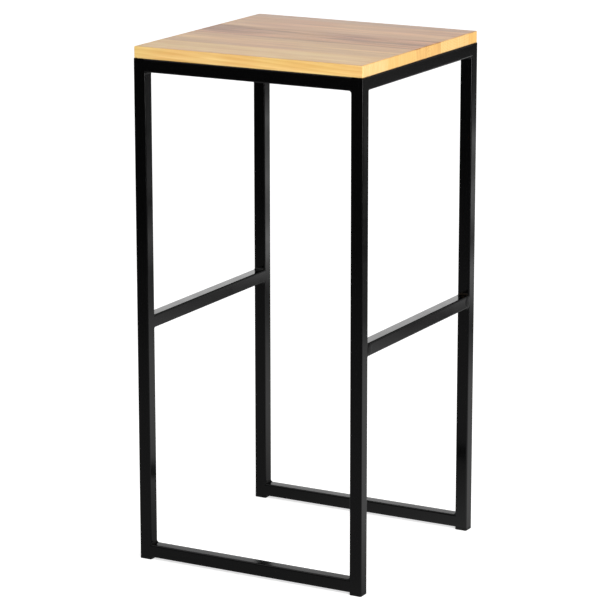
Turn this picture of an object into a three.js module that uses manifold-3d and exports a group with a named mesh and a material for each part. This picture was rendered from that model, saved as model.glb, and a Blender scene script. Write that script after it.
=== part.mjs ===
// A bar stool: a welded frame of square steel tube with two footrests, under a seat board glued up from staves.
// Millimetres, +Z up, +X to the right, +Y to the back. The origin is on the floor, under the middle of the stool.
import * as THREE from "three";
import Module from "manifold-3d";
import { mergeVertices } from "three/addons/utils/BufferGeometryUtils.js";

const wasm = await Module();
wasm.setup();

// Overall sizes
const stoolWidth = 385; // left to right, over the legs
const stoolDepth = 380; // front to back, over the legs
const frameHeight = 780; // floor to the top of the frame

// Square tube, the same for the whole frame
const tubeSide = 20;
const tubeWall = 1.5;
const tubeCorner = 2.5; // outside corner radius
const smallestBoreCorner = 0.3;
const cornerSteps = 4; // flats on each rounded corner

// Footrests, on the left and the right
const footrestTop = 385; // floor to the upper face

// Plastic foot caps, plugged into the legs
const capHead = 4; // thickness under the leg
const capChamfer = 0.6; // round the cap's lower edge
const plugHeight = 13; // of the hollow plug inside the leg
const plugWall = 1.4;
const ribCount = 3;
const ribThickness = 1;
const ribDepth = 0.9; // how far a rib stands out of the plug
const ribClearance = 0.3; // between a rib and the tube's bore
const plugCorner = 0.8;
const plugCornerSteps = 2;

// Seat board
const boardThickness = 18;
const boardInset = 1; // from the legs' outer faces, on each side
const boardEdge = 1.2; // rounding of the board's outer edges
const edgeSteps = 3;
const staveShares = [13, 15, 14, 16, 5]; // widths of the staves against each other, from the front

// Fillet welds in the inner corners of the frame
const weldLeg = 4;
const weldSteps = 6;

// Corner plates that the seat is screwed to
const plateLeg = 42;
const plateTip = 8; // width left at each point of the triangle
const plateThickness = 3;
const plateDrop = 1; // below the upper face of the top rails
const plateHoleIn = 18; // from the two rails to the middle of the hole

// Wood screws through the corner plates
const screwRadius = 2;
const screwLength = 16; // under the head
const screwPoint = 3; // length of the conical point
const screwHeadRadius = 4;
const screwHeadHeight = 2.4;
const screwHoleClearance = 0.5;
const pilotClearance = 0.2; // between the screw and the bored wood
const pilotOverrun = 1; // beyond the screw's point
const roundSteps = 24;

// Heights and places that follow
const topRailBottom = frameHeight - tubeSide;
const footrestBottom = footrestTop - tubeSide;
const floorBarBottom = capHead;
const floorBarTop = floorBarBottom + tubeSide;
const legX = (stoolWidth - tubeSide) / 2; // centre of a right-hand leg
const legY = (stoolDepth - tubeSide) / 2; // centre of a back leg
const spanX = stoolWidth - 2 * tubeSide; // between the legs
const spanY = stoolDepth - 2 * tubeSide;
const tubeFlat = tubeSide - 2 * tubeCorner; // flat part of a tube's face
const boreSide = tubeSide - 2 * tubeWall;
const boreCorner = Math.max(tubeCorner - tubeWall, smallestBoreCorner);
const plateTop = frameHeight - plateDrop;
const plateBottom = plateTop - plateThickness;

// Finishes
const blackPaint = () => new THREE.MeshStandardMaterial({ color: 0x0b0b0c, roughness: 0.14, metalness: 0.0 });
const blackPlastic = () => new THREE.MeshStandardMaterial({ color: 0x121212, roughness: 0.55, metalness: 0.0 });
const zincPlate = () => new THREE.MeshStandardMaterial({ color: 0xb9bcc0, roughness: 0.32, metalness: 1.0 });
const wood = (color) => new THREE.MeshStandardMaterial({ color, roughness: 0.5, metalness: 0.0 });
const staveColors = [0xdcbf9a, 0xd4b78c, 0xab8a6c, 0xcfb088, 0xc6a680];

const stool = new THREE.Group();

const corners = [
  { name: "front_left", x: -1, y: -1 },
  { name: "front_right", x: 1, y: -1 },
  { name: "back_left", x: -1, y: 1 },
  { name: "back_right", x: 1, y: 1 },
];

/** Adds one named piece to the stool, at a place. */
function addPiece(name, geometry, material, x = 0, y = 0, z = 0) {
  const mesh = new THREE.Mesh(geometry, material);
  mesh.name = name;
  mesh.position.set(x, y, z);
  stool.add(mesh);
  return mesh;
}

/** Turns a closed geometry into a solid that can be joined and cut. */
function toSolid(geometry) {
  const bare = geometry.index ? geometry.toNonIndexed() : geometry.clone();
  bare.deleteAttribute("normal");
  bare.deleteAttribute("uv");
  const merged = mergeVertices(bare, 1e-4);
  const vertProperties = new Float32Array(merged.attributes.position.array);
  const triVerts = new Uint32Array(merged.index.array);
  return new wasm.Manifold(new wasm.Mesh({ numProp: 3, vertProperties, triVerts }));
}

/** Turns a solid back into a geometry. */
function toGeometry(solid) {
  const mesh = solid.getMesh();
  const geometry = new THREE.BufferGeometry();
  geometry.setAttribute("position", new THREE.BufferAttribute(new Float32Array(mesh.vertProperties), 3));
  geometry.setIndex(new THREE.BufferAttribute(new Uint32Array(mesh.triVerts), 1));
  geometry.computeVertexNormals();
  return geometry;
}

/** Draws a square with rounded corners, centred on the origin, on a shape or a hole. */
function drawRounded(path, side, radius) {
  const centre = side / 2 - radius;
  path.absarc(centre, centre, radius, 0, 0.5 * Math.PI, false);
  path.absarc(-centre, centre, radius, 0.5 * Math.PI, Math.PI, false);
  path.absarc(-centre, -centre, radius, Math.PI, 1.5 * Math.PI, false);
  path.absarc(centre, -centre, radius, 1.5 * Math.PI, 2 * Math.PI, false);
  return path;
}

/** A solid rounded-square prism of the foot cap's plug, between two heights. */
function plugPrism(side, radius, bottom, top) {
  const outline = drawRounded(new THREE.Shape(), side, radius);
  const prism = new THREE.ExtrudeGeometry(outline, {
    depth: top - bottom,
    bevelEnabled: false,
    curveSegments: plugCornerSteps,
  });
  return toSolid(prism.translate(0, 0, bottom));
}

/** Open square tube that stands on z = 0. */
function squareTube(length) {
  const outline = drawRounded(new THREE.Shape(), tubeSide, tubeCorner);
  outline.holes.push(drawRounded(new THREE.Path(), boreSide, boreCorner));
  return new THREE.ExtrudeGeometry(outline, { depth: length, bevelEnabled: false, curveSegments: cornerSteps });
}

/** A length of tube between two legs, along X or Y, with its lower face at a height. */
function addRail(name, alongX, side, bottom) {
  const z = bottom + tubeSide / 2;
  if (alongX) {
    const rail = addPiece(name, squareTube(spanX), blackPaint(), -spanX / 2, side * legY, z);
    rail.rotation.y = Math.PI / 2;
  } else {
    const rail = addPiece(name, squareTube(spanY), blackPaint(), side * legX, spanY / 2, z);
    rail.rotation.x = Math.PI / 2;
  }
}

/** Concave fillet, centred on its length along Y: its corner is at the origin, its legs run along +X and +Z. */
function filletGeometry() {
  const outline = new THREE.Shape();
  outline.moveTo(0, 0);
  outline.lineTo(weldLeg, 0);
  outline.absarc(weldLeg, weldLeg, weldLeg, 1.5 * Math.PI, Math.PI, true);
  outline.lineTo(0, 0);
  const fillet = new THREE.ExtrudeGeometry(outline, {
    depth: tubeFlat,
    bevelEnabled: false,
    curveSegments: weldSteps,
  });
  fillet.translate(0, 0, -tubeFlat / 2);
  return fillet.rotateX(Math.PI / 2);
}

/** Fillet weld between a leg and one end of a rail, over or under the rail. */
function addWeld(name, alongX, side, end, railFace, over) {
  const awayX = alongX ? -end : 0;
  const awayY = alongX ? 0 : -end;
  const fillet = filletGeometry();
  if (!over) {
    fillet.rotateX(Math.PI);
  }
  const x = alongX ? (end * spanX) / 2 : side * legX;
  const y = alongX ? side * legY : (end * spanY) / 2;
  const weld = addPiece(name, fillet, blackPaint(), x, y, railFace);
  weld.rotation.z = Math.atan2(awayY, awayX);
}

/** The two ends' welds of one rail, on each face that is named. */
function addRailWelds(name, alongX, side, faces) {
  const ends = alongX ? { left: -1, right: 1 } : { front: -1, back: 1 };
  for (const [endName, end] of Object.entries(ends)) {
    for (const face of faces) {
      addWeld(`weld_${name}_${endName}_${face.name}`, alongX, side, end, face.z, face.name === "over");
    }
  }
}

/** Plastic cap: a head as wide as the leg, and a hollow ribbed plug that goes up into the tube. */
function footCapGeometry() {
  const soleSide = tubeSide - 2 * capChamfer;
  const sole = drawRounded(new THREE.Shape(), soleSide, tubeCorner - capChamfer);
  const head = new THREE.ExtrudeGeometry(sole, {
    depth: capHead,
    bevelEnabled: true,
    bevelThickness: capChamfer,
    bevelSize: capChamfer,
    bevelSegments: 1,
    curveSegments: cornerSteps,
  }).translate(0, 0, capChamfer);
  const aboveHead = new THREE.BoxGeometry(2 * tubeSide, 2 * tubeSide, capHead).translate(0, 0, 1.5 * capHead);
  const ribSide = boreSide - 2 * ribClearance;
  const plugSide = ribSide - 2 * ribDepth;
  const plugTop = capHead + plugHeight;
  let cap = toSolid(head).subtract(toSolid(aboveHead));
  cap = cap.add(plugPrism(plugSide, plugCorner, capHead / 2, plugTop));
  const ribPitch = plugHeight / (ribCount + 1);
  for (let rib = 1; rib <= ribCount; rib += 1) {
    const ribBottom = capHead + rib * ribPitch;
    cap = cap.add(plugPrism(ribSide, plugCorner, ribBottom, ribBottom + ribThickness));
  }
  const pocketSide = plugSide - 2 * plugWall;
  return toGeometry(cap.subtract(plugPrism(pocketSide, plugCorner / 2, capHead, plugTop + capHead)));
}

/** Where the hole of a corner plate is, from the middle of the stool. */
function plateHole(corner) {
  return {
    x: corner.x * (spanX / 2 - plateHoleIn),
    y: corner.y * (spanY / 2 - plateHoleIn),
  };
}

/** Triangular plate in a corner of the top frame, with a hole for the screw. */
function plateGeometry(corner) {
  const outline = new THREE.Shape();
  outline.moveTo(0, 0);
  outline.lineTo(-corner.x * plateLeg, 0);
  outline.lineTo(-corner.x * plateLeg, -corner.y * plateTip);
  outline.lineTo(-corner.x * plateTip, -corner.y * plateLeg);
  outline.lineTo(0, -corner.y * plateLeg);
  outline.closePath();
  const hole = new THREE.Path();
  hole.absarc(-corner.x * plateHoleIn, -corner.y * plateHoleIn, screwRadius + screwHoleClearance, 0, 2 * Math.PI);
  outline.holes.push(hole);
  return new THREE.ExtrudeGeometry(outline, {
    depth: plateThickness,
    bevelEnabled: false,
    curveSegments: roundSteps / 2,
  });
}

/** Pan-head wood screw, its head's flat underside at z = 0 and its point up. */
function screwGeometry() {
  const profile = [
    new THREE.Vector2(0, -screwHeadHeight),
    new THREE.Vector2(0.6 * screwHeadRadius, -0.92 * screwHeadHeight),
    new THREE.Vector2(0.9 * screwHeadRadius, -0.6 * screwHeadHeight),
    new THREE.Vector2(screwHeadRadius, 0),
    new THREE.Vector2(screwRadius, 0),
    new THREE.Vector2(screwRadius, screwLength - screwPoint),
    new THREE.Vector2(0, screwLength),
  ];
  return new THREE.LatheGeometry(profile, roundSteps).rotateX(Math.PI / 2);
}

/** The whole seat board with its outer edges rounded and its pilot holes bored from below. */
function boardSolid() {
  const width = stoolWidth - 2 * boardInset;
  const depth = stoolDepth - 2 * boardInset;
  const outline = new THREE.Shape();
  const x = width / 2 - boardEdge;
  const y = depth / 2 - boardEdge;
  outline.moveTo(-x, -y);
  outline.lineTo(x, -y);
  outline.lineTo(x, y);
  outline.lineTo(-x, y);
  outline.closePath();
  const slab = new THREE.ExtrudeGeometry(outline, {
    depth: boardThickness - 2 * boardEdge,
    bevelEnabled: true,
    bevelThickness: boardEdge,
    bevelSize: boardEdge,
    bevelSegments: edgeSteps,
  }).translate(0, 0, frameHeight + boardEdge);
  let board = toSolid(slab);
  const holeDepth = screwLength - plateThickness - plateDrop + pilotOverrun;
  for (const corner of corners) {
    const hole = plateHole(corner);
    const pilot = new THREE.CylinderGeometry(
      screwRadius + pilotClearance,
      screwRadius + pilotClearance,
      2 * holeDepth,
      roundSteps,
    );
    pilot.rotateX(Math.PI / 2).translate(hole.x, hole.y, frameHeight);
    board = board.subtract(toSolid(pilot));
  }
  return board;
}

/** Cuts the board into staves along its glue lines, from the front to the back. */
function addStaves() {
  const board = boardSolid();
  const depth = stoolDepth - 2 * boardInset;
  const shareSum = staveShares.reduce((sum, share) => sum + share, 0);
  let front = -depth / 2;
  staveShares.forEach((share, index) => {
    const staveWidth = (depth * share) / shareSum;
    const cutter = new THREE.BoxGeometry(2 * stoolWidth, staveWidth, 2 * boardThickness);
    cutter.translate(0, front + staveWidth / 2, frameHeight + boardThickness / 2);
    const stave = board.intersect(toSolid(cutter));
    addPiece(`seat_stave_${index + 1}`, toGeometry(stave), wood(staveColors[index]));
    front += staveWidth;
  });
}

/** The four legs, each with its foot cap, corner plate and screw. */
function addCorners() {
  for (const corner of corners) {
    const x = corner.x * legX;
    const y = corner.y * legY;
    const hole = plateHole(corner);
    addPiece(`leg_${corner.name}`, squareTube(frameHeight - capHead), blackPaint(), x, y, capHead);
    addPiece(`foot_cap_${corner.name}`, footCapGeometry(), blackPlastic(), x, y, 0);
    addPiece(
      `seat_plate_${corner.name}`,
      plateGeometry(corner),
      blackPaint(),
      (corner.x * spanX) / 2,
      (corner.y * spanY) / 2,
      plateBottom,
    );
    addPiece(`seat_screw_${corner.name}`, screwGeometry(), zincPlate(), hole.x, hole.y, plateBottom);
  }
}

/** The rails, footrests and floor bars, with the welds at their ends. */
function addRails() {
  const topFaces = [{ name: "under", z: topRailBottom }];
  const footrestFaces = [{ name: "over", z: footrestTop }, { name: "under", z: footrestBottom }];
  const floorFaces = [{ name: "over", z: floorBarTop }];
  for (const [sideName, side] of Object.entries({ front: -1, back: 1 })) {
    addRail(`top_rail_${sideName}`, true, side, topRailBottom);
    addRailWelds(`top_rail_${sideName}`, true, side, topFaces);
    addRail(`floor_bar_${sideName}`, true, side, floorBarBottom);
    addRailWelds(`floor_bar_${sideName}`, true, side, floorFaces);
  }
  for (const [sideName, side] of Object.entries({ left: -1, right: 1 })) {
    addRail(`top_rail_${sideName}`, false, side, topRailBottom);
    addRailWelds(`top_rail_${sideName}`, false, side, topFaces);
    addRail(`footrest_${sideName}`, false, side, footrestBottom);
    addRailWelds(`footrest_${sideName}`, false, side, footrestFaces);
  }
}

addCorners();
addRails();
addStaves();

export default stool;
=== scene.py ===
"""Looks of a bar stool: a black welded frame with two footrests, under a seat board glued up from staves.

Metres, +Z up, +X to the right, +Y to the back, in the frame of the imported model.
"""

import logging
import math
from collections.abc import Iterator
from dataclasses import dataclass, field
from enum import Enum

import bmesh
import bpy
from mathutils import Matrix, Vector


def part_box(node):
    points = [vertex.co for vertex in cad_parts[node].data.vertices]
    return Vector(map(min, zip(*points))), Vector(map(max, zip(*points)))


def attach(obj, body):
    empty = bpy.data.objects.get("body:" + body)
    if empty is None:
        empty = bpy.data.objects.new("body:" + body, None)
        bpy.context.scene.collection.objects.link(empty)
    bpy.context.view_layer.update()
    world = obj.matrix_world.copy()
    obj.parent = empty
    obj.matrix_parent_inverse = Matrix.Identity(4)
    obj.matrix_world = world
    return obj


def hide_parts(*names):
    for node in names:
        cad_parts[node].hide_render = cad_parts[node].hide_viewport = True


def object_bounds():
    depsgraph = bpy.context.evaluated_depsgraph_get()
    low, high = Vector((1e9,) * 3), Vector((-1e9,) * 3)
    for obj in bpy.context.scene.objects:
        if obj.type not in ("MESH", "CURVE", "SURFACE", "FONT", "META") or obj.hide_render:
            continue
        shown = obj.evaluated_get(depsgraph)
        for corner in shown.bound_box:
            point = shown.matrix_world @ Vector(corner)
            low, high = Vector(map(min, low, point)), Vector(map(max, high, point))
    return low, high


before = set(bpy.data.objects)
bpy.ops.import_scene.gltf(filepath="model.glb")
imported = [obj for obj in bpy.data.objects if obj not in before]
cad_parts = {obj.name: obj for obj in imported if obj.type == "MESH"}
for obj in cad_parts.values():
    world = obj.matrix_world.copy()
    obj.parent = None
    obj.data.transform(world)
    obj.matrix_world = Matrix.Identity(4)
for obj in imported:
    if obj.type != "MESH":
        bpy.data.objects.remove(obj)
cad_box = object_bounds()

BODY = "root"
MM = 0.001
CREASE = math.radians(38)
TOUCH = 1e-6  # metres that still count as touching
WAVE_TURNS = 20  # radians that the wave texture runs through in one unit

Color = tuple[float, float, float]
BLACK: Color = (0.0, 0.0, 0.0)
WHITE: Color = (1.0, 1.0, 1.0)
Socket = bpy.types.NodeSocket
Finish = bpy.types.Material
Shape = bmesh.types.BMesh
Face = bmesh.types.BMFace
log = logging.getLogger("stool")


class Slot(Enum):
    """Material slots that the pieces' finishes belong to."""

    PAINT = "frame_paint"
    PLASTIC = "foot_plastic"
    ZINC = "screw_zinc"
    WOOD_PALE = "wood_pale"
    WOOD_HONEY = "wood_honey"
    WOOD_BROWN = "wood_brown"
    WOOD_SAND = "wood_sand"


class Axis(Enum):
    """Direction that a length of tube runs in, as an index into a point."""

    X = 0
    Y = 1
    Z = 2


@dataclass(frozen=True)
class Corner:
    """One of the stool's four corners."""

    name: str
    x: int
    y: int


CORNERS = (
    Corner("front_left", -1, -1),
    Corner("front_right", 1, -1),
    Corner("back_left", -1, 1),
    Corner("back_right", 1, 1),
)


# ---------------------------------------------------------------- finishes


class Graph:
    """The node tree of one material, round a Principled shader."""

    def __init__(self, name: str, **constants: float | Color) -> None:
        """Starts a material.

        Args:
            name: the material's name.
            constants: shader inputs that are the same all over, by name with _ for a space.
        """
        self.material = bpy.data.materials.new(name)
        self.material.use_nodes = True
        self.tree = self.material.node_tree
        self.tree.nodes.clear()
        self.shader = self.tree.nodes.new("ShaderNodeBsdfPrincipled")
        output = self.tree.nodes.new("ShaderNodeOutputMaterial")
        self.tree.links.new(self.shader.outputs["BSDF"], output.inputs["Surface"])
        for key, value in constants.items():
            self.feed(self.shader, key.replace("_", " "), value)

    def feed(self, node: bpy.types.Node, key: str | int, value: object) -> None:
        """Links a socket to an input of a node, or sets the input to a plain value."""
        target = node.inputs[key]
        if isinstance(value, Socket):
            self.tree.links.new(value, target)
        elif target.type == "RGBA":
            target.default_value = (*value, 1.0)
        else:
            target.default_value = value

    def add(self, kind: str, inputs: dict[str | int, object], **settings: object) -> bpy.types.Node:
        """Adds a node.

        Args:
            kind: the node's type, without the ShaderNode in front.
            inputs: sockets or values for its inputs.
            settings: its own properties.

        Returns:
            The node.
        """
        node = self.tree.nodes.new("ShaderNode" + kind)
        for key, value in settings.items():
            setattr(node, key, value)
        for key, value in inputs.items():
            self.feed(node, key, value)
        return node

    def place(self) -> Socket:
        """Where a point of the piece is, in metres."""
        return self.add("TexCoord", {}).outputs["Object"]

    def noise(self, vector: Socket, scale: float, detail: float = 2.0, roughness: float = 0.5) -> Socket:
        """Soft noise from 0 to 1."""
        inputs = {"Vector": vector, "Scale": scale, "Detail": detail, "Roughness": roughness}
        return self.add("TexNoise", inputs).outputs["Fac"]

    def grain(self, scale: Color, detail: float, roughness: float = 0.5, shift: Color = BLACK) -> Socket:
        """Soft noise from 0 to 1 that runs further one way than another, scaled along each axis."""
        mapping = self.add("Mapping", {"Vector": self.place(), "Location": shift, "Scale": scale})
        return self.noise(mapping.outputs["Vector"], 1.0, detail, roughness)

    def span(
        self, value: Socket, low: float, high: float, to_low: float = 0.0, to_high: float = 1.0
    ) -> Socket:
        """Eases a value from one range to another, and holds it at the ends."""
        inputs = {"Value": value, "From Min": low, "From Max": high, "To Min": to_low, "To Max": to_high}
        return self.add("MapRange", inputs, interpolation_type="SMOOTHSTEP").outputs["Result"]

    def math(self, operation: str, first: Socket | float, second: Socket | float = 0.0) -> Socket:
        """Arithmetic on two values."""
        return self.add("Math", {0: first, 1: second}, operation=operation).outputs[0]

    def clamp(self, value: Socket) -> Socket:
        """Holds a value between 0 and 1."""
        return self.math("MAXIMUM", self.math("MINIMUM", value, 1.0), 0.0)

    def mix(
        self, share: Socket | float, first: Socket | Color, second: Socket | Color, blend: str = "MIX"
    ) -> Socket:
        """A colour between two others, or the first blended with the second."""
        node = self.add("Mix", {}, data_type="RGBA", blend_type=blend)
        self.feed(node, 0, share)
        self.feed(node, 6, first)
        self.feed(node, 7, second)
        return node.outputs[2]

    def bump(self, height: Socket, depth: float) -> None:
        """Gives the surface relief, depth metres for a height of 1."""
        node = self.add("Bump", {"Height": height, "Distance": depth})
        self.feed(self.shader, "Normal", node.outputs["Normal"])


class WorldGraph(Graph):
    """The node tree of the surroundings, round a Background shader."""

    def __init__(self, world: bpy.types.World) -> None:
        """Starts the surroundings, white."""
        self.tree = world.node_tree
        self.tree.nodes.clear()
        self.shader = self.tree.nodes.new("ShaderNodeBackground")
        output = self.tree.nodes.new("ShaderNodeOutputWorld")
        self.tree.links.new(self.shader.outputs["Background"], output.inputs["Surface"])
        self.feed(self.shader, "Color", WHITE)


@dataclass(frozen=True)
class GlossPaint:
    """Glossy black powder coat, with the orange peel that it dries with and the drawn tube's slight waves."""

    name: str = "gloss_black_paint"
    roughness: tuple[float, float] = (0.10, 0.16)
    color: Color = (0.0009, 0.0009, 0.001)
    peel: float = 2.6 * MM
    peel_depth: float = 0.012 * MM
    wave: float = 95 * MM
    wave_depth: float = 0.45 * MM
    speck_lift: float = 5.0  # how much lighter the specks are

    def build(self) -> Finish:
        """Makes the material."""
        graph = Graph(self.name, IOR=1.5)
        place = graph.place()
        peel = graph.math("MULTIPLY", graph.noise(place, 1 / self.peel, 1.5), self.peel_depth)
        wave = graph.math("MULTIPLY", graph.noise(place, 1 / self.wave, 1.0), self.wave_depth)
        graph.bump(graph.math("ADD", peel, wave), 1.0)
        cloud = graph.noise(place, 28.0, 3.0)
        graph.feed(graph.shader, "Roughness", graph.span(cloud, 0.3, 0.7, *self.roughness))
        speck = graph.span(graph.noise(place, 900.0, 1.0), 0.66, 0.76)
        lighter = tuple(self.speck_lift * part for part in self.color)
        graph.feed(graph.shader, "Base Color", graph.mix(speck, self.color, lighter))
        return graph.material


@dataclass(frozen=True)
class MouldedPlastic:
    """Black moulded plastic with a fine spark-eroded grain."""

    color: Color = (0.003, 0.003, 0.0032)
    scuffed: Color = (0.007, 0.007, 0.007)
    grain: float = 0.35 * MM
    grain_depth: float = 0.02 * MM

    def build(self) -> Finish:
        """Makes the material."""
        graph = Graph("black_foot_plastic", IOR=1.46)
        place = graph.place()
        grain = graph.noise(place, 1 / self.grain, 2.0)
        graph.bump(grain, self.grain_depth)
        scuff = graph.span(graph.grain((60.0, 60.0, 400.0), 3.0), 0.45, 0.75)
        graph.feed(graph.shader, "Roughness", graph.span(scuff, 0.0, 1.0, 0.34, 0.5))
        graph.feed(graph.shader, "Base Color", graph.mix(scuff, self.color, self.scuffed))
        return graph.material


@dataclass(frozen=True)
class ZincPlate:
    """Bright zinc plating on the screws, faintly mottled."""

    bright: Color = (0.70, 0.72, 0.74)
    dull: Color = (0.46, 0.47, 0.47)
    pitting: float = 0.01 * MM

    def build(self) -> Finish:
        """Makes the material."""
        graph = Graph("zinc_plate", Metallic=1.0)
        place = graph.place()
        mottle = graph.span(graph.noise(place, 900.0, 3.0), 0.35, 0.7)
        graph.feed(graph.shader, "Base Color", graph.mix(mottle, self.bright, self.dull))
        graph.feed(graph.shader, "Roughness", graph.span(mottle, 0.0, 1.0, 0.24, 0.42))
        graph.bump(graph.noise(place, 3000.0, 1.0), self.pitting)
        return graph.material


@dataclass(frozen=True)
class StaveWood:
    """Lacquered timber of one stave, with its fibres along X and its year rings about a heart line."""

    name: str
    pale: Color  # wood of the spring
    dark: Color  # wood of the autumn
    end_pale: Color
    end_dark: Color
    tint: Color  # of the broad stains
    heart: tuple[float, float]  # Y and Z of the tree's middle, at X = 0
    top: float  # Z of the board's top face
    joint: float  # Y of the stave's front joint
    lean: tuple[float, float] = (0.02, 0.015)  # how the heart line runs off in Y and Z, along X
    start: float = 0.0  # shifts the pattern along X
    ring: float = 4.2 * MM  # growth of one year
    wander: float = 7.0  # how far the rings stray, in radians
    reach: float = 0.045  # how short the rings' bends are along X, against Y
    wobble: float = 30.0  # small bends of the rings to a metre
    contrast: float = 0.5
    tint_share: float = 0.45
    blush_cast: Color = (1.0, 0.86, 0.93)  # of the rosier patches
    front_painted_light: Color = (1.01, 1.11, 1.07)  # painted light: lifts the board's front edge against its top, for the light that falls there
    bare_and_shaded_cast: Color = (0.80, 0.86, 0.98)  # of the underside: bare, unlacquered wood, darkened and greyed with painted shade
    relief: float = 0.05 * MM
    joint_shade: float = 0.25  # of the darker margin at the front joint
    joint_width: float = 7 * MM
    hatch: float = 0.35  # of the saw's marks on the end
    arris_width: float = 1.5 * MM  # of the darker line along the end's top edge

    @property
    def shift(self) -> Color:
        """Where the patterns of fibres, streaks and stains start."""
        return (self.start * 31.0, self.start * 17.0, 0.0)

    def rings(self, graph: Graph, parts: bpy.types.Node) -> Socket:
        """Year rings, from 0 in the spring to 1 in the autumn."""
        along = parts.outputs["X"]
        across = []
        for axis, lean, heart in zip(("Y", "Z"), self.lean, self.heart):
            off = graph.math("SUBTRACT", parts.outputs[axis], heart)
            across.append(graph.math("ADD", graph.math("MULTIPLY", along, lean), off))
        far = graph.math("ADD", graph.math("MULTIPLY", along, self.reach), self.start)
        vector = graph.add("CombineXYZ", {0: far, 1: across[0], 2: across[1]}).outputs[0]
        full_turn = 2 * math.pi
        inputs = {
            "Vector": vector,
            "Scale": full_turn / (WAVE_TURNS * self.ring),
            "Distortion": self.wander,
            "Detail": 2.5,
            "Detail Scale": self.wobble * WAVE_TURNS * self.ring / full_turn,
            "Detail Roughness": 0.5,
        }
        wave = graph.add("TexWave", inputs, wave_type="RINGS", rings_direction="X", wave_profile="SAW")
        return graph.span(wave.outputs["Fac"], 0.2, 1.0)

    def face(
        self, graph: Graph, parts: bpy.types.Node, rings: Socket, fibres: Socket, pores: Socket
    ) -> Socket:
        """Colour of the faces along the grain."""
        streaks = graph.grain((2.6, 95.0, 95.0), 3.0, 0.6, self.shift)
        stain = graph.span(graph.grain((5.0, 34.0, 34.0), 2.0, shift=self.shift), 0.36, 0.66)
        blush = graph.span(graph.grain((7.0, 13.0, 13.0), 1.0, shift=self.shift), 0.4, 0.7)
        figure = graph.math("MULTIPLY", rings, self.contrast)
        figure = graph.math("ADD", figure, graph.span(streaks, 0.3, 0.72, -0.25, 0.6))
        figure = graph.math("ADD", figure, graph.span(fibres, 0.3, 0.7, -0.14, 0.2))
        color = graph.mix(graph.clamp(figure), self.pale, self.dark)
        color = graph.mix(graph.math("MULTIPLY", stain, self.tint_share), color, self.tint)
        rosy = graph.mix(1.0, color, self.blush_cast, "MULTIPLY")
        color = graph.mix(graph.math("MULTIPLY", blush, 0.6), color, rosy)
        inside = self.joint + self.joint_width
        margin = graph.span(parts.outputs["Y"], self.joint, inside, self.joint_shade, 0.0)
        broken = graph.span(graph.grain((11.0, 30.0, 30.0), 2.0, shift=self.shift), 0.35, 0.6, 0.35, 1.0)
        color = graph.mix(graph.math("MULTIPLY", margin, broken), color, self.tint)
        return graph.mix(graph.math("MULTIPLY", pores, 0.3), color, tuple(0.5 * part for part in self.dark))

    def end(self, graph: Graph, parts: bpy.types.Node, rings: Socket) -> Socket:
        """Colour of the sawn ends."""
        pores = graph.noise(graph.place(), 1600.0, 2.0)
        saw = graph.grain((0.0, 430.0, 22.0), 2.0, 0.6)
        figure = graph.math("ADD", graph.math("MULTIPLY", rings, 0.5), graph.span(pores, 0.3, 0.8, 0.0, 0.25))
        figure = graph.math("ADD", figure, graph.span(saw, 0.35, 0.65, -self.hatch, self.hatch))
        color = graph.mix(graph.clamp(figure), self.end_pale, self.end_dark)
        arris = graph.span(parts.outputs["Z"], self.top - self.arris_width, self.top - 0.3 * self.arris_width)
        patches = graph.span(graph.grain((0.0, 28.0, 0.0), 1.0), 0.3, 0.7, 0.15, 0.85)
        return graph.mix(graph.math("MULTIPLY", arris, patches), color, self.tint)

    def build(self) -> Finish:
        """Makes the material."""
        graph = Graph(self.name, IOR=1.5)
        parts = graph.add("SeparateXYZ", {"Vector": graph.place()})
        rings = self.rings(graph, parts)
        fibres = graph.grain((9.0, 520.0, 520.0), 3.0, 0.6, self.shift)
        pores = graph.span(graph.grain((26.0, 1900.0, 1900.0), 1.0, shift=self.shift), 0.62, 0.74)
        facing = graph.add("SeparateXYZ", {"Vector": graph.add("TexCoord", {}).outputs["Normal"]})
        is_end = graph.span(graph.math("ABSOLUTE", facing.outputs["X"]), 0.55, 0.85)
        under_bare_and_shaded = graph.span(facing.outputs["Z"], -0.9, -0.5, 1.0, 0.0)
        painted_light_front = graph.span(facing.outputs["Y"], -0.85, -0.55, 1.0, 0.0)

        sides = self.face(graph, parts, rings, fibres, pores)
        color = graph.mix(is_end, sides, self.end(graph, parts, rings))
        # Painted light: the front faces' colour is multiplied up, for the light that falls on the board's
        # front edge.
        color = graph.mix(painted_light_front, color, graph.mix(1.0, color, self.front_painted_light, "MULTIPLY"))
        # Painted shade: the underside's colour is darkened and greyed, partly for bare wood and partly for
        # the light it lacks.
        bare_and_shaded = graph.mix(1.0, color, self.bare_and_shaded_cast, "MULTIPLY")
        graph.feed(graph.shader, "Base Color", graph.mix(under_bare_and_shaded, color, bare_and_shaded))
        rough = graph.span(fibres, 0.3, 0.7, 0.30, 0.36)
        rough = graph.math("ADD", rough, graph.math("MULTIPLY", is_end, 0.12))
        rough = graph.math("ADD", rough, graph.math("MULTIPLY", under_bare_and_shaded, 0.3))
        graph.feed(graph.shader, "Roughness", rough)
        relief = graph.math("ADD", graph.math("MULTIPLY", fibres, 0.4), graph.math("MULTIPLY", rings, 0.5))
        relief = graph.math("SUBTRACT", relief, graph.math("MULTIPLY", pores, 0.8))
        graph.bump(relief, self.relief)
        return graph.material


# ---------------------------------------------------------------- mesh work


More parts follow.
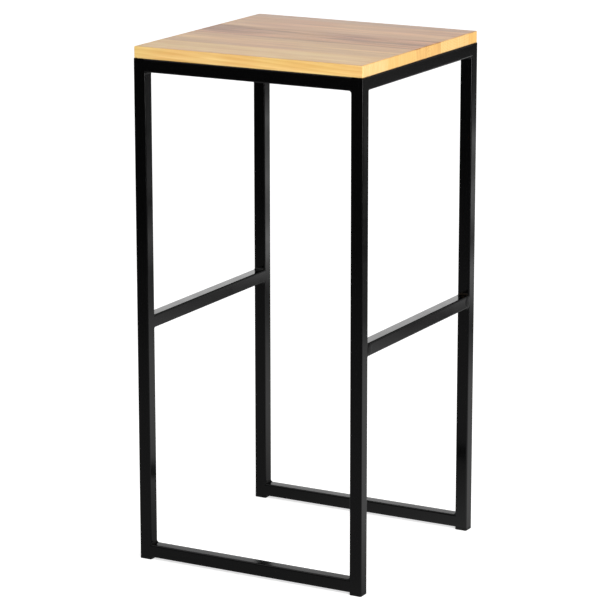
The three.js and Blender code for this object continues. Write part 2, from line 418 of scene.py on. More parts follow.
class Bench:
    """Shapes that several pieces share, and the last step that makes a shape a piece of the stool."""

    @staticmethod
    def rounded_square(bm: Shape, side: float, radius: float, segments: int) -> Face:
        """Draws a square with rounded corners on z = 0, centred on the origin.

        Args:
            bm: the mesh to draw in, still empty.
            side: over the flats.
            radius: of the corners.
            segments: flats on each corner.

        Returns:
            The face.
        """
        bmesh.ops.create_grid(bm, x_segments=1, y_segments=1, size=side / 2)
        bmesh.ops.bevel(
            bm,
            geom=bm.verts[:],
            offset=radius,
            offset_type="OFFSET",
            segments=segments,
            profile=0.5,
            affect="VERTICES",
            material=-1,
        )
        return bm.faces[:][0]

    @staticmethod
    def push(bm: Shape, face: Face, by: Vector, keep: bool = False) -> Face:
        """Extrudes a face.

        Args:
            bm: the mesh that the face is in.
            face: the face.
            by: how far and which way it goes.
            keep: leaves the old face, to close the start of a solid.

        Returns:
            The face at the far end.
        """
        made = bmesh.ops.extrude_face_region(bm, geom=[face])["geom"]
        moved = [part for part in made if isinstance(part, bmesh.types.BMVert)]
        bmesh.ops.translate(bm, vec=by, verts=moved)
        if not keep and face.is_valid:
            bmesh.ops.delete(bm, geom=[face], context="FACES_ONLY")
        return next(part for part in made if isinstance(part, Face))

    @staticmethod
    def spread(bm: Shape, face: Face, factor: float, about: Vector) -> None:
        """Makes a face larger or smaller in its own plane, about a point."""
        about_space = Matrix.Translation(-about)
        bmesh.ops.scale(bm, vec=(factor, factor, factor), space=about_space, verts=face.verts[:])

    @staticmethod
    def ease(bm: Shape, edges: list[bmesh.types.BMEdge], width: float, segments: int = 2) -> None:
        """Rounds edges over."""
        bmesh.ops.bevel(
            bm,
            geom=edges,
            offset=width,
            offset_type="OFFSET",
            segments=segments,
            profile=0.5,
            affect="EDGES",
            clamp_overlap=True,
            material=-1,
        )

    @staticmethod
    def turn(bm: Shape, angle: float, axis: str) -> None:
        """Turns the mesh about an axis through the origin."""
        bmesh.ops.rotate(bm, cent=(0, 0, 0), matrix=Matrix.Rotation(angle, 3, axis), verts=bm.verts[:])

    @staticmethod
    def move(bm: Shape, by: Vector | tuple[float, float, float]) -> None:
        """Moves the mesh."""
        bmesh.ops.translate(bm, vec=by, verts=bm.verts[:])

    @staticmethod
    def peg(sides: int, foot: float, tip: float, length: float) -> Shape:
        """Makes a peg about the origin, along Z, from the radius of its foot to that of its tip."""
        bm = bmesh.new()
        bmesh.ops.create_cone(bm, cap_ends=True, segments=sides, radius1=foot, radius2=tip, depth=length)
        return bm

    @staticmethod
    def stand(bm: Shape, name: str) -> bpy.types.Object:
        """Turns a shape into an object of the scene, and frees the shape."""
        mesh = bpy.data.meshes.new(name)
        bm.to_mesh(mesh)
        bm.free()
        made = bpy.data.objects.new(name, mesh)
        bpy.context.scene.collection.objects.link(made)
        return made

    @staticmethod
    def piece(
        bm: Shape,
        name: str,
        material: Finish,
        slot: Slot,
        replaces: tuple[str, ...],
        crease: float = CREASE,
    ) -> bpy.types.Object:
        """Turns a finished shape into a piece that rides on the stool.

        Args:
            bm: the closed shape, in its place. It is freed.
            name: the piece's name.
            material: its finish.
            slot: the material slot that the finish belongs to; it is only logged.
            replaces: the CAD nodes that the piece stands for.
            crease: edges sharper than this stay crisp.

        Returns:
            The piece.
        """
        bmesh.ops.recalc_face_normals(bm, faces=bm.faces[:])
        piece = Bench.stand(bm, name)
        mesh = piece.data
        mesh.materials.append(material)
        mesh.polygons.foreach_set("use_smooth", [True] * len(mesh.polygons))
        mesh.set_sharp_from_angle(angle=crease)
        shading = piece.modifiers.new("even_shading", "WEIGHTED_NORMAL")
        shading.keep_sharp = True
        shading.weight = 100
        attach(piece, BODY)
        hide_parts(*replaces)
        log.info("%-32s %6d faces  %s", name, len(mesh.polygons), slot.value)
        return piece

    @staticmethod
    def carve(bm: Shape, tools: list[Shape]) -> Shape:
        """Cuts closed shapes out of another.

        Args:
            bm: the closed shape to cut. It is freed.
            tools: the shapes to take away. They are freed.

        Returns:
            The cut shape.
        """
        bmesh.ops.recalc_face_normals(bm, faces=bm.faces[:])
        body = Bench.stand(bm, "carve_body")
        cutters = []
        for tool in tools:
            bmesh.ops.recalc_face_normals(tool, faces=tool.faces[:])
            cutter = Bench.stand(tool, "carve_tool")
            cut = body.modifiers.new("cut", "BOOLEAN")
            cut.object = cutter
            cut.operation = "DIFFERENCE"
            cut.solver = "EXACT"
            cutters.append(cutter)
        result = bmesh.new()
        result.from_object(body, bpy.context.evaluated_depsgraph_get())
        for scrap in [body, *cutters]:
            bpy.data.meshes.remove(scrap.data)
        bmesh.ops.remove_doubles(result, verts=result.verts[:], dist=1e-7)
        if not result.faces:
            raise RuntimeError("the cut left nothing")
        return result


# ---------------------------------------------------------------- frame


@dataclass
class TubeFrame:
    """Legs, rails, footrests and floor bars of rounded square steel tube."""

    wall: float = 1.5 * MM
    corner: float = 2.5 * MM
    corner_segments: int = 8
    cut_edge: float = 0.25 * MM  # filed off the cut ends
    side: float = field(init=False)
    paint: Finish = field(init=False)

    def __post_init__(self) -> None:
        """Takes the tube's size from a leg."""
        low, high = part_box("leg_front_left")
        self.side = high.x - low.x
        self.paint = GlossPaint().build()

    def tube(self, length: float) -> Shape:
        """Makes an open tube that stands on z = 0."""
        bm = bmesh.new()
        base = Bench.rounded_square(bm, self.side, self.corner, self.corner_segments)
        top = Bench.push(bm, base, Vector((0, 0, length)), keep=True)
        bmesh.ops.recalc_face_normals(bm, faces=bm.faces[:])
        ends = [base, top]
        bmesh.ops.inset_region(bm, faces=ends, thickness=self.wall, use_even_offset=True)
        rims = [edge for face in ends for edge in face.edges]
        bmesh.ops.delete(bm, geom=ends, context="FACES_ONLY")
        bmesh.ops.bridge_loops(bm, edges=rims)
        level = [edge for edge in bm.edges if abs(edge.verts[0].co.z - edge.verts[1].co.z) < TOUCH]
        outer = [edge for edge in level if edge not in rims and self.is_outline(edge)]
        Bench.ease(bm, outer, self.cut_edge)
        return bm

    def is_outline(self, edge: bmesh.types.BMEdge) -> bool:
        """Says if an edge lies on the outer outline of a cut end."""
        walls = [face for face in edge.link_faces if abs(face.normal.z) < 0.5]
        return len(walls) == 1 and len(edge.link_faces) == 2

    def lay(self, node: str, axis: Axis, overlap: float) -> None:
        """Builds the tube that stands for one CAD node.

        Args:
            node: the node.
            axis: the direction that it runs in.
            overlap: how much longer it is at each end, to meet the legs' flat faces round their corners.
        """
        low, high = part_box(node)
        middle = (low + high) / 2
        length = high[axis.value] - low[axis.value] + 2 * overlap
        bm = self.tube(length)
        Bench.move(bm, (0, 0, -length / 2))
        if axis is Axis.X:
            Bench.turn(bm, math.pi / 2, "Y")
        elif axis is Axis.Y:
            Bench.turn(bm, math.pi / 2, "X")
        Bench.move(bm, middle)
        Bench.piece(bm, f"{node}_tube", self.paint, Slot.PAINT, (node,))

    def build(self) -> None:
        """Builds every tube of the frame."""
        for corner in CORNERS:
            self.lay(f"leg_{corner.name}", Axis.Z, 0.0)
        for end in ("front", "back"):
            self.lay(f"top_rail_{end}", Axis.X, self.corner)
            self.lay(f"floor_bar_{end}", Axis.X, self.corner)
        for hand in ("left", "right"):
            self.lay(f"top_rail_{hand}", Axis.Y, self.corner)
            self.lay(f"footrest_{hand}", Axis.Y, self.corner)


@dataclass
class WeldBeads:
    """Rippled fillet welds in the frame's inner corners, run out round the tubes' rounded edges."""

    paint: Finish
    tube_corner: float
    ripple: float = 1.9 * MM  # from one ripple to the next
    ripple_depth: float = 0.10
    steps_per_ripple: int = 5
    arc_steps: int = 7
    hollow: float = 0.72  # how concave the bead is, against a quarter round
    wrap_share: float = 0.8  # of the tubes' rounding that the bead runs round
    end_fade: float = 0.75  # of its size, lost towards each end
    crease: float = math.radians(50)
    seam_width: float = 15.0 * MM
    seam_height: float = 0.7 * MM
    seam_inset: float = 0.8 * MM  # from the footrest's top and bottom
    seam_sides: int = 40
    seam_ripple: float = 0.035
    seam_tip: float = 0.02  # size at its upper end, against its middle
    seam_foot: float = 0.1  # the same at its lower end
    seam_sunk: float = 0.1  # of its height, set into the tube
    seam_shift: float = 5.0 * MM  # of its middle, from the joint along the footrest

    def outline(self, bm: Shape, leg: float) -> Face:
        """Draws the bead's section in the XZ plane: its corner at the origin, its legs along +X and +Z."""
        points = [Vector((-self.tube_corner, 0, -self.tube_corner)), Vector((leg, 0, -self.tube_corner))]
        for step in range(self.arc_steps + 1):
            angle = math.pi / 2 * step / self.arc_steps
            arc = Vector((leg * (1 - math.sin(angle)), 0, leg * (1 - math.cos(angle))))
            chord = Vector((leg * (1 - step / self.arc_steps), 0, leg * step / self.arc_steps))
            points.append(chord.lerp(arc, self.hollow))
        points.append(Vector((-self.tube_corner, 0, leg)))
        return bm.faces.new([bm.verts.new(point) for point in points])

    def stations(self, flat: float) -> Iterator[tuple[float, float, float]]:
        """Walks along the bead.

        Args:
            flat: width of the tubes' flat faces, that the bead crosses.

        Yields:
            The place along the bead, how far the corner has sunk there, and the bead's size there.
        """
        wrap = self.wrap_share * self.tube_corner
        length = flat + 2 * wrap
        count = round(length / self.ripple) * self.steps_per_ripple
        for step in range(count + 1):
            place = -length / 2 + length * step / count
            past = max(abs(place) - flat / 2, 0.0)
            sunk = self.tube_corner - math.sqrt(self.tube_corner**2 - past**2)
            phase = (step / self.steps_per_ripple) % 1.0
            swell = 1 - self.ripple_depth * (2 * phase - 1) ** 2
            fade = 1 - self.end_fade * (past / wrap) ** 2
            yield place, sunk, swell * fade

    def bead(self, leg: float, flat: float) -> Shape:
        """Makes a bead that is centred on its length along Y, with its corner at the origin."""
        bm = bmesh.new()
        tip = self.outline(bm, leg)
        stations = list(self.stations(flat))
        previous_place, previous_sunk, previous_size = stations[0]
        Bench.move(bm, (-previous_sunk, previous_place, -previous_sunk))
        Bench.spread(bm, tip, previous_size, Vector((-previous_sunk, previous_place, -previous_sunk)))
        for index, (place, sunk, size) in enumerate(stations[1:]):
            down = previous_sunk - sunk
            tip = Bench.push(bm, tip, Vector((down, place - previous_place, down)), keep=index == 0)
            Bench.spread(bm, tip, size / previous_size, Vector((-sunk, place, -sunk)))
            previous_place, previous_sunk, previous_size = place, sunk, size
        return bm

    def lay(self, node: str, along_x: bool, end: int, over: bool) -> None:
        """Builds the bead that stands for one CAD weld.

        Args:
            node: the weld's node.
            along_x: the rail runs along X, else along Y.
            end: which end of the rail, -1 or 1.
            over: the bead lies on the rail, else under it.
        """
        low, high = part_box(node)
        middle = (low + high) / 2
        leg = high.z - low.z
        flat = (high.y - low.y) if along_x else (high.x - low.x)
        bm = self.bead(leg, flat)
        if not over:
            Bench.turn(bm, math.pi, "X")
        away = (-end, 0) if along_x else (0, -end)
        Bench.turn(bm, math.atan2(away[1], away[0]), "Z")
        reach = Vector((away[0], away[1], 0)) * leg / 2
        root = Vector((middle.x, middle.y, low.z if over else high.z)) - reach
        Bench.move(bm, root)
        Bench.piece(bm, f"{node}_bead", self.paint, Slot.PAINT, (node,), crease=self.crease)

    def seam(self, hand: str, end: str) -> None:
        """Builds the low bead down the outer side of one footrest's joint.

        Args:
            hand: which footrest, left or right.
            end: which end of it, front or back.
        """
        low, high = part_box(f"footrest_{hand}")
        face = high.x if hand == "right" else low.x
        joint = high.y if end == "back" else low.y
        out = 1 if hand == "right" else -1
        bm = bmesh.new()
        bmesh.ops.create_circle(bm, cap_ends=True, segments=self.seam_sides, radius=1.0)
        bmesh.ops.scale(bm, vec=(self.seam_height, self.seam_width / 2, 1.0), verts=bm.verts[:])
        tip = bm.faces[:][0]
        height = high.z - low.z - 2 * self.seam_inset
        count = round(height / self.ripple) * self.steps_per_ripple
        size = 1.0
        for step in range(count):
            tip = Bench.push(bm, tip, Vector((0, 0, height / count)), keep=step == 0)
            share = (step + 1) / count
            bow = max(1 - (2 * share - 1) ** 4, self.seam_tip)
            phase = (step / self.steps_per_ripple) % 1.0
            wanted = bow * (1 - self.seam_ripple * (2 * phase - 1) ** 2)
            Bench.spread(bm, tip, wanted / size, Vector((0, 0, share * height)))
            size = wanted
        foot = [vert for vert in bm.verts if vert.co.z < TOUCH]
        bmesh.ops.scale(bm, vec=(self.seam_foot, self.seam_foot, 1.0), verts=foot)
        middle = joint + (self.seam_shift if end == "front" else -self.seam_shift)
        place = (face - self.seam_sunk * out * self.seam_height, middle, low.z + self.seam_inset)
        Bench.move(bm, place)
        Bench.piece(bm, f"footrest_{hand}_{end}_seam", self.paint, Slot.PAINT, (), crease=self.crease)

    def build(self) -> None:
        """Builds every bead of the frame."""
        for rail_end in ("front", "back"):
            for name, end in (("left", -1), ("right", 1)):
                self.lay(f"weld_top_rail_{rail_end}_{name}_under", True, end, False)
                self.lay(f"weld_floor_bar_{rail_end}_{name}_over", True, end, True)
        for hand in ("left", "right"):
            for name, end in (("front", -1), ("back", 1)):
                self.lay(f"weld_top_rail_{hand}_{name}_under", False, end, False)
                self.lay(f"weld_footrest_{hand}_{name}_over", False, end, True)
                self.lay(f"weld_footrest_{hand}_{name}_under", False, end, False)
                self.seam(hand, name)


@dataclass
class FootCaps:
    """Moulded caps under the legs, each a head and a hollow ribbed plug."""

    head: float = 4 * MM
    corner: float = 2.5 * MM
    corner_segments: int = 6
    sole_edge: float = 0.45 * MM
    lip_edge: float = 0.45 * MM
    plug_share: float = 0.735  # of the head's width
    rib_share: float = 0.82
    ribs: int = 3
    rib_height: float = 1.0 * MM
    plug_wall: float = 1.4 * MM

    @staticmethod
    def shoulder(bm: Shape, top: Face, factor: float, level: float) -> Face:
        """Steps the outline in or out, flat.

        Args:
            bm: the cap so far.
            top: its top face.
            factor: new width against the old one.
            level: height of the face.

        Returns:
            The new top face.
        """
        top = Bench.push(bm, top, Vector((0, 0, 0)))
        Bench.spread(bm, top, factor, Vector((0, 0, level)))
        return top

    def cap(self, side: float, height: float) -> Shape:
        """Makes a cap that stands on z = 0.

        Args:
            side: of its head.
            height: over the head and the plug.

        Returns:
            The shape.
        """
        bm = bmesh.new()
        sole = Bench.rounded_square(bm, side, self.corner, self.corner_segments)
        top = Bench.push(bm, sole, Vector((0, 0, self.head)), keep=True)
        rim = [edge for edge in bm.edges if all(vert.co.z < TOUCH for vert in edge.verts)]
        Bench.ease(bm, rim, self.sole_edge, 3)
        Bench.ease(bm, top.edges[:], self.lip_edge)
        top = max(bm.faces, key=lambda face: face.calc_center_median().z)
        top = self.shoulder(bm, top, self.plug_share * side / (side - 2 * self.lip_edge), self.head)
        pitch = (height - self.head) / (self.ribs + 1)
        level = self.head
        widen = self.rib_share / self.plug_share
        for _ in range(self.ribs):
            gap = pitch - (self.rib_height if level > self.head else 0.0)
            level += gap
            top = Bench.push(bm, top, Vector((0, 0, gap)))
            top = self.shoulder(bm, top, widen, level)
            level += self.rib_height
            top = Bench.push(bm, top, Vector((0, 0, self.rib_height)))
            top = self.shoulder(bm, top, 1 / widen, level)
        top = Bench.push(bm, top, Vector((0, 0, height - level)))
        plug = self.plug_share * side
        top = self.shoulder(bm, top, (plug - 2 * self.plug_wall) / plug, height)
        Bench.push(bm, top, Vector((0, 0, self.head - height)))
        return bm

    def build(self) -> None:
        """Builds the four caps."""
        plastic = MouldedPlastic().build()
        for corner in CORNERS:
            node = f"foot_cap_{corner.name}"
            low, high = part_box(node)
            bm = self.cap(high.x - low.x, high.z - low.z)
            middle = (low + high) / 2
            Bench.move(bm, (middle.x, middle.y, low.z))
            Bench.piece(bm, f"{node}_moulding", plastic, Slot.PLASTIC, (node,))


# ---------------------------------------------------------------- seat


@dataclass
class SeatBoard:
    """Seat board of five glued staves, rounded round its outside and bored for the screws."""

    edge: float = 1.2 * MM
    edge_segments: int = 5
    pilot: float = 2.2 * MM
    pilot_depth: float = 13 * MM
    pilot_sides: int = 24
    woods: tuple[tuple[Slot, StaveWood], ...] = field(init=False)

    @staticmethod
    def timber(number: int, kind: str, heart: tuple[float, float], **looks: float | tuple) -> StaveWood:
        """Describes the wood of one stave.

        Args:
            number: the stave's, from the front.
            kind: name of the wood.
            heart: Y of the tree's middle, and its Z from the board's top face.
            looks: what else sets it apart.

        Returns:
            The finish.
        """
        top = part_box("seat_stave_1")[1].z
        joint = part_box(f"seat_stave_{number}")[0].y
        middle = (heart[0], top + heart[1])
        return StaveWood(f"timber_{kind}", heart=middle, top=top, joint=joint, **looks)

    def __post_init__(self) -> None:
        """Chooses the timber of each stave, from the front."""
        pale = self.timber(
            1, "pale", pale=(0.94, 0.65, 0.275), dark=(0.78, 0.465, 0.14),
            end_pale=(0.78, 0.52, 0.225), end_dark=(0.68, 0.41, 0.145), tint=(0.72, 0.35, 0.075),
            heart=(-0.24, -0.05), start=3.95, joint_shade=0.0, tint_share=0.5,
        )
        honey = self.timber(
            2, "honey", pale=(0.88, 0.55, 0.22), dark=(0.64, 0.355, 0.135),
            end_pale=(0.74, 0.47, 0.17), end_dark=(0.64, 0.36, 0.10), tint=(0.50, 0.23, 0.085),
            heart=(-0.01, -0.09), start=6.81, joint_shade=0.4, tint_share=0.4,
        )
        brown = self.timber(
            3, "brown", pale=(0.86, 0.48, 0.20), dark=(0.44, 0.155, 0.035),
            end_pale=(0.74, 0.47, 0.165), end_dark=(0.56, 0.27, 0.075), tint=(0.25, 0.065, 0.01),
            heart=(0.035, -0.010), lean=(0.06, 0.03), start=5.82, wander=11.0, reach=0.12,
            contrast=0.6, tint_share=0.65, joint_shade=0.75, hatch=0.5,
        )
        sand = self.timber(
            4, "sand", pale=(0.84, 0.50, 0.225), dark=(0.64, 0.35, 0.15),
            end_pale=(0.78, 0.52, 0.21), end_dark=(0.66, 0.39, 0.12), tint=(0.50, 0.24, 0.10),
            heart=(0.14, 0.09), start=8.48, tint_share=0.4,
        )
        # Painted sheen: the back stave is the sand timber again. Its colours are partly its own tone and
        # partly made bluer for the sheen that grazing light lays on it.
        sand_painted_sheen = self.timber(
            5, "sand_painted_sheen", pale=(0.70, 0.44, 0.25), dark=(0.53, 0.315, 0.17),
            end_pale=(0.76, 0.46, 0.15), end_dark=(0.64, 0.34, 0.09), tint=(0.46, 0.24, 0.13),
            heart=(0.24, -0.07), start=9.25, tint_share=0.4,
        )
        self.woods = (
            (Slot.WOOD_PALE, pale),
            (Slot.WOOD_HONEY, honey),
            (Slot.WOOD_BROWN, brown),
            (Slot.WOOD_SAND, sand),
            (Slot.WOOD_SAND, sand_painted_sheen),
        )

    def stave(self, low: Vector, high: Vector, board_low: Vector, board_high: Vector) -> Shape:
        """Makes one stave, rounded only where it is at the outside of the board.

        Args:
            low: the stave's lowest corner.
            high: its highest corner.
            board_low: the board's lowest corner.
            board_high: its highest corner.

        Returns:
            The shape.
        """
        bm = bmesh.new()
        bmesh.ops.create_cube(bm, size=1.0)
        bmesh.ops.scale(bm, vec=high - low, verts=bm.verts[:])
        Bench.move(bm, (low + high) / 2)

        def outside(face: Face) -> bool:
            """Says if a face of the stave is at the outside of the board."""
            middle = face.calc_center_median()
            at_front = abs(middle.y - board_low.y) < 10 * TOUCH
            at_back = abs(middle.y - board_high.y) < 10 * TOUCH
            return abs(face.normal.y) < 0.5 or at_front or at_back

        bmesh.ops.recalc_face_normals(bm, faces=bm.faces[:])
        edges = [edge for edge in bm.edges if all(outside(face) for face in edge.link_faces)]
        Bench.ease(bm, edges, self.edge, self.edge_segments)
        return bm

    def drill(self, screw: str) -> Shape:
        """Makes the shape of one pilot hole, under the board and up into it."""
        low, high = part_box(screw)
        bottom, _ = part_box("seat_stave_1")
        middle = (low + high) / 2
        bm = Bench.peg(self.pilot_sides, self.pilot, self.pilot, 2 * self.pilot_depth)
        Bench.move(bm, (middle.x, middle.y, bottom.z))
        return bm

    def build(self) -> None:
        """Builds the staves."""
        count = len(self.woods)
        boxes = [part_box(f"seat_stave_{index + 1}") for index in range(count)]
        board_low, board_high = boxes[0][0], boxes[-1][1]
        for index, (slot, wood) in enumerate(self.woods):
            low, high = boxes[index]
            bm = self.stave(low, high, board_low, board_high)
            holes = []
            for corner in CORNERS:
                screw_low, screw_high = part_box(f"seat_screw_{corner.name}")
                if low.y < screw_low.y and screw_high.y < high.y:
                    holes.append(self.drill(f"seat_screw_{corner.name}"))
            if holes:
                bm = Bench.carve(bm, holes)
            node = f"seat_stave_{index + 1}"
            Bench.piece(bm, f"{node}_timber", wood.build(), slot, (node,))


@dataclass
class SeatFixings:
    """Corner plates welded into the top frame, and the screws through them."""

    paint: Finish
    plate_leg: float = 42 * MM
    plate_tip: float = 8 * MM
    hole: float = 2.5 * MM
    soft_edge: float = 0.3 * MM
    head: float = 4 * MM
    head_height: float = 2.4 * MM
    shank: float = 1.45 * MM
    thread: float = 2.0 * MM
    pitch: float = 1.7 * MM
    point: float = 3.5 * MM
    round_steps: int = 32
    recess: float = 2.1 * MM  # half the width of the cross in the head
    recess_depth: float = 1.5 * MM
    recess_taper: float = 0.45
    recess_slim: float = 0.26  # thickness of the cross's arms, against their length
    dome_steps: int = 6
    neck: float = 0.3 * MM  # how much wider the shank is right under the head
    neck_length: float = 0.5 * MM
    thread_start: float = 2.5 * MM
    thread_steps: int = 16  # to one turn
    ridge: float = 0.35  # half the foot of the thread's ridge, in pitches
    ridge_sunk: float = 0.15 * MM

    def plate(self, corner: Corner) -> Shape:
        """Makes one plate with its softened edges and its hole."""
        low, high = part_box(f"seat_plate_{corner.name}")
        screw_low, screw_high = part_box(f"seat_screw_{corner.name}")
        root = Vector((high.x if corner.x > 0 else low.x, high.y if corner.y > 0 else low.y, low.z))
        leg, tip = self.plate_leg, self.plate_tip
        outline = [(0, 0), (leg, 0), (leg, tip), (tip, leg), (0, leg)]
        bm = bmesh.new()
        points = [root + Vector((-corner.x * x, -corner.y * y, 0)) for x, y in outline]
        face = bm.faces.new([bm.verts.new(point) for point in points])
        Bench.push(bm, face, Vector((0, 0, high.z - low.z)), keep=True)
        bmesh.ops.recalc_face_normals(bm, faces=bm.faces[:])
        Bench.ease(bm, bm.edges[:], self.soft_edge)
        middle = (screw_low + screw_high) / 2
        drill = Bench.peg(self.round_steps, self.hole, self.hole, self.plate_leg)
        Bench.move(drill, (middle.x, middle.y, low.z))
        return Bench.carve(bm, [drill])

    def turned(self, length: float) -> Shape:
        """Makes a screw's head and shank, with the head's underside at z = 0 and the point up."""
        profile = [
            Vector((self.head * math.sin(angle), 0, -self.head_height * math.cos(angle)))
            for angle in (math.pi / 2 * step / self.dome_steps for step in range(self.dome_steps + 1))
        ]
        profile += [
            Vector((self.shank + self.neck, 0, 0)),
            Vector((self.shank, 0, self.neck_length)),
            Vector((self.shank, 0, length - self.point)),
            Vector((0, 0, length)),
        ]
        bm = bmesh.new()
        verts = [bm.verts.new(point) for point in profile]
        edges = [bm.edges.new(pair) for pair in zip(verts, verts[1:])]
        bmesh.ops.spin(
            bm,
            geom=verts + edges,
            cent=(0, 0, 0),
            axis=(0, 0, 1),
            angle=2 * math.pi,
            steps=self.round_steps,
            use_merge=True,
        )
        bmesh.ops.remove_doubles(bm, verts=bm.verts[:], dist=TOUCH)
        return bm

    def slit(self, angle: float) -> Shape:
        """Makes the shape of one arm of the cross recess, which narrows into the head."""
        foot = math.sqrt(2) * self.recess
        tip = math.sqrt(2) * self.recess_taper * self.recess
        bm = Bench.peg(4, foot, tip, 2 * self.recess_depth)
        Bench.turn(bm, math.pi / 4, "Z")
        bmesh.ops.scale(bm, vec=(1.0, self.recess_slim, 1.0), verts=bm.verts[:])
        Bench.turn(bm, angle, "Z")
        Bench.move(bm, (0, 0, -self.head_height))
        return bm

    def helix(self, bm: Shape, length: float) -> None:
        """Winds the thread's ridge round the shank."""
        turns = (length - self.point - self.thread_start) / self.pitch
        root = self.shank - self.ridge_sunk
        half = self.ridge * self.pitch
        section = [(root, -half), (self.thread, 0.0), (root, half)]
        verts = [bm.verts.new((x, 0, self.thread_start + z)) for x, z in section]
        face = bm.faces.new(verts)
        steps = round(turns * self.thread_steps)
        bmesh.ops.spin(
            bm,
            geom=[face, *face.edges, *verts],
            cent=(0, 0, 0),
            axis=(0, 0, 1),
            dvec=(0, 0, turns * self.pitch / steps),
            angle=2 * math.pi * turns,
            steps=steps,
            use_merge=False,
        )

    def screw(self, node: str) -> Shape:
        """Makes one pan-head wood screw in its place."""
        low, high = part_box(node)
        length = high.z - low.z - self.head_height
        bm = Bench.carve(self.turned(length), [self.slit(0.0), self.slit(math.pi / 2)])
        self.helix(bm, length)
        middle = (low + high) / 2
        Bench.move(bm, (middle.x, middle.y, low.z + self.head_height))
        return bm

    def build(self) -> None:
        """Builds the plates and the screws."""
        zinc = ZincPlate().build()
        for corner in CORNERS:
            plate = f"seat_plate_{corner.name}"
            Bench.piece(self.plate(corner), f"{plate}_steel", self.paint, Slot.PAINT, (plate,))
            screw = f"seat_screw_{corner.name}"
            Bench.piece(self.screw(screw), f"{screw}_zinc", zinc, Slot.ZINC, (screw,))


# ---------------------------------------------------------------- studio


@dataclass(frozen=True)
class Glow:
    """A soft bright patch of the studio's surroundings, as gloss reflects it."""

    toward: tuple[float, float, float]
    strength: float
    inner: float  # degrees off its middle that are fully bright
    outer: float  # degrees off its middle where it has faded out


@dataclass(frozen=True)
class Pool:
    """A soft pool of light on the floor, as gloss reflects it."""

    middle: tuple[float, float]
    strength: float
    inner: float  # metres from its middle that are fully bright
    outer: float  # metres from its middle where it has faded out


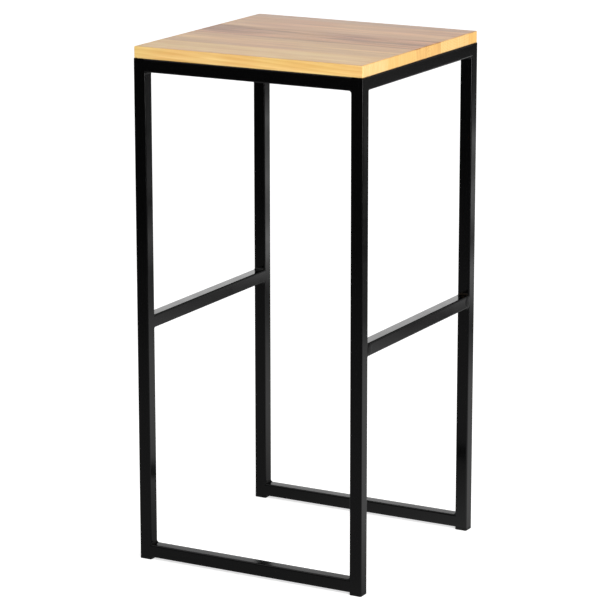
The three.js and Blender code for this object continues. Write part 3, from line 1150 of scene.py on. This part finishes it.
@dataclass
class Studio:
    """Pale floor, softbox, and a second floor and surroundings that only gloss reflects."""

    floor_radius: float = 14.0
    floor_sides: int = 96
    floor_color: Color = (0.82, 0.82, 0.82)
    floor_lift: float = 0.62  # makes the paper read as white
    backdrop: float = 1.1  # what the camera sees past the floor
    fill: float = 0.62  # what lights the wood from all round
    gloom: float = 0.02  # what gloss reflects where nothing is lit
    key_place: tuple[float, float, float] = (2.6, -1.45, 1.15)
    key_size: tuple[float, float] = (2.4, 1.9)
    key_power: float = 96.0
    glows: tuple[Glow, ...] = (
        Glow((-0.48, 0.88, 0.155), 1.4, 3.0, 13.0),
        Glow((-0.46, -0.25, 0.86), 0.9, 4.0, 22.0),
        Glow((-0.9, -0.2, 0.3), 0.5, 8.0, 30.0),
        Glow((0.5, 0.8, 0.3), 0.25, 8.0, 30.0),
        Glow((0.85, -0.47, 0.26), 1.1, 7.0, 18.0),
        Glow((0.4, -0.9, 0.26), 0.5, 7.0, 24.0),
    )
    pools: tuple[Pool, ...] = (
        Pool((0.0, 0.0), 0.17, 0.3, 3.0),
        Pool((0.68, 0.50), 0.38, 0.40, 1.0),
        Pool((0.74, 1.88), 1.15, 0.05, 0.50),
        Pool((1.03, 2.60), 1.15, 0.05, 0.60),
        Pool((1.40, 3.30), 0.95, 0.1, 0.50),
        Pool((1.90, 3.70), 0.10, 0.6, 1.6),
        Pool((4.35, -1.75), 6.0, 0.3, 1.1),
        Pool((2.60, 0.40), 0.30, 0.3, 1.2),
        Pool((-0.35, 2.70), 0.35, 0.4, 1.2),
        Pool((-1.90, 0.10), 0.40, 0.3, 1.5),
    )

    @staticmethod
    def sum_of(graph: Graph, parts: list[Socket], start: float) -> Socket | float:
        """Adds values up."""
        total: Socket | float = start
        for part in parts:
            total = graph.math("ADD", total, part)
        return total

    def disc(self, name: str, material: Finish) -> bpy.types.Object:
        """Lays a large round sheet on the floor."""
        bm = bmesh.new()
        bmesh.ops.create_circle(bm, cap_ends=True, segments=self.floor_sides, radius=self.floor_radius)
        disc = Bench.stand(bm, name)
        disc.data.materials.append(material)
        return disc

    def floor(self) -> None:
        """Lays the pale floor, which gloss doesn't see."""
        paper = Graph("pale_paper", Roughness=0.9, Specular_IOR_Level=0.1, Emission_Color=WHITE)
        mottle = paper.span(paper.noise(paper.place(), 0.8, 2.0), 0.2, 0.8, 0.97, 1.0)
        paper.feed(paper.shader, "Base Color", paper.mix(mottle, (0.7, 0.7, 0.7), self.floor_color))
        seen = paper.add("LightPath", {}).outputs["Is Camera Ray"]
        paper.feed(paper.shader, "Emission Strength", paper.math("MULTIPLY", seen, self.floor_lift))
        self.disc("studio_floor", paper.material).visible_glossy = False

    def sheen(self) -> None:
        """Lays the floor that only gloss sees: dark, with the pools of light on it."""
        graph = Graph("floor_in_gloss", Roughness=1.0, Base_Color=BLACK, Emission_Color=WHITE)
        lit = []
        for pool in self.pools:
            away = graph.add("VectorMath", {0: graph.place(), 1: (*pool.middle, 0.0)}, operation="DISTANCE")
            lit.append(graph.span(away.outputs["Value"], pool.inner, pool.outer, pool.strength, 0.0))
        graph.feed(graph.shader, "Emission Strength", self.sum_of(graph, lit, self.gloom))
        disc = self.disc("studio_floor_sheen", graph.material)
        disc.visible_camera = disc.visible_diffuse = disc.visible_shadow = disc.visible_transmission = False

    def key(self) -> None:
        """Stands the soft light to the right of the stool, in front of it."""
        light = bpy.data.lights.new("key_softbox", "AREA")
        light.shape = "RECTANGLE"
        light.size, light.size_y = self.key_size
        light.energy = self.key_power
        lamp = bpy.data.objects.new("key_softbox", light)
        low, high = cad_box
        place = Vector(self.key_place)
        lamp.location = place
        lamp.rotation_euler = ((low + high) / 2 - place).to_track_quat("-Z", "Y").to_euler()
        lamp.visible_camera = lamp.visible_glossy = False
        bpy.context.scene.collection.objects.link(lamp)

    def surroundings(self) -> None:
        """Sets what surrounds the stage: white behind it, an even fill, and patches that gloss reflects."""
        world = bpy.data.worlds.new("studio")
        world.use_nodes = True
        graph = WorldGraph(world)
        ray = graph.add("TexCoord", {}).outputs["Generated"]
        lit = []
        for glow in self.glows:
            toward = Vector(glow.toward).normalized()
            near = graph.add("VectorMath", {0: ray, 1: toward}, operation="DOT_PRODUCT").outputs["Value"]
            outer, inner = math.cos(math.radians(glow.outer)), math.cos(math.radians(glow.inner))
            lit.append(graph.span(near, outer, inner, 0.0, glow.strength))
        path = graph.add("LightPath", {})
        strength = self.sum_of(graph, lit, self.gloom)
        for kind, level in (("Is Diffuse Ray", self.fill), ("Is Camera Ray", self.backdrop)):
            inputs = {0: path.outputs[kind], 2: strength, 3: level}
            strength = graph.add("Mix", inputs, data_type="FLOAT").outputs[0]
        graph.feed(graph.shader, "Strength", strength)
        bpy.context.scene.world = world

    def build(self) -> None:
        """Sets up the floor, the surroundings and the light."""
        self.floor()
        self.sheen()
        self.surroundings()
        self.key()
        bpy.context.scene.view_settings.view_transform = "Standard"


@dataclass
class ViewCamera:
    """The camera, a long lens a little above the seat."""

    azimuth: float = math.radians(28.667)
    elevation: float = math.radians(13.818)
    roll: float = math.radians(-0.03)
    distance: float = 4.663
    lens: float = 178.88
    offset_right: float = -5.0 * MM
    offset_up: float = -14.6 * MM
    clip_end: float = 60.0

    def build(self) -> None:
        """Places the camera about the middle of the stool."""
        low, high = cad_box
        back = Vector(
            (
                math.sin(self.azimuth) * math.cos(self.elevation),
                -math.cos(self.azimuth) * math.cos(self.elevation),
                math.sin(self.elevation),
            )
        )
        level = Vector((0, 0, 1)).cross(back).normalized()
        upright = back.cross(level)
        right = math.cos(self.roll) * level + math.sin(self.roll) * upright
        up = math.cos(self.roll) * upright - math.sin(self.roll) * level
        place = (low + high) / 2 + back * self.distance + right * self.offset_right + up * self.offset_up
        data = bpy.data.cameras.new("view_camera")
        data.lens = self.lens
        data.clip_end = self.clip_end
        camera = bpy.data.objects.new("view_camera", data)
        camera.matrix_world = Matrix.Translation(place) @ Matrix((right, up, back)).transposed().to_4x4()
        bpy.context.scene.collection.objects.link(camera)
        bpy.context.scene.camera = camera


def main() -> None:
    """Builds the stool's pieces, then the studio round them."""
    logging.basicConfig(level=logging.INFO, format="%(message)s")
    ViewCamera().build()
    tubes = TubeFrame()
    tubes.build()
    duller = GlossPaint(name="weld_black_paint", roughness=(0.34, 0.42))  # over the welds' rough skin
    WeldBeads(duller.build(), tubes.corner).build()
    FootCaps().build()
    SeatBoard().build()
    SeatFixings(tubes.paint).build()
    Studio().build()


if __name__ == "__main__":
    main()
